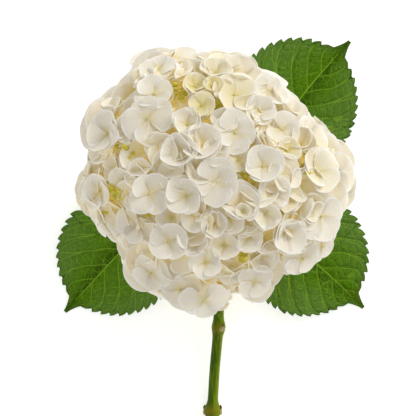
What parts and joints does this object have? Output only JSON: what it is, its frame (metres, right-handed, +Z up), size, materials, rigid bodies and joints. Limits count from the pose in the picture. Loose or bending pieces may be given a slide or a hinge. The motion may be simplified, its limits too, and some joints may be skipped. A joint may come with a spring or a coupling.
{
  "type": "cut hydrangea",
  "caption": "Round mophead hydrangea of overlapping four-petalled florets, lying on its toothed leaves, with a short green stem cut on a slant.",
  "frame": {"origin": "on the surface that the flower lies on, at the flat spot under the middle of its head", "axes": "+Z up, +Y from the cut end of the stem towards the crown of the head, +X to the right as seen from above"},
  "size_m": [0.2062, 0.2622, 0.1512],
  "materials": {
    "petal": "soft matt warm white petals, yellow-green at their bases",
    "leaf": "dark green with a low sheen, lighter veins",
    "stem": "olive green bark, smooth, brown at the leaf scars"
  },
  "bodies": {
    "root": {"flower_head": "petal", "stem": "stem", "leaf_upper_right": "leaf", "leaf_lower_left": "leaf", "leaf_lower_right": "leaf"}
  },
  "joints": []
}
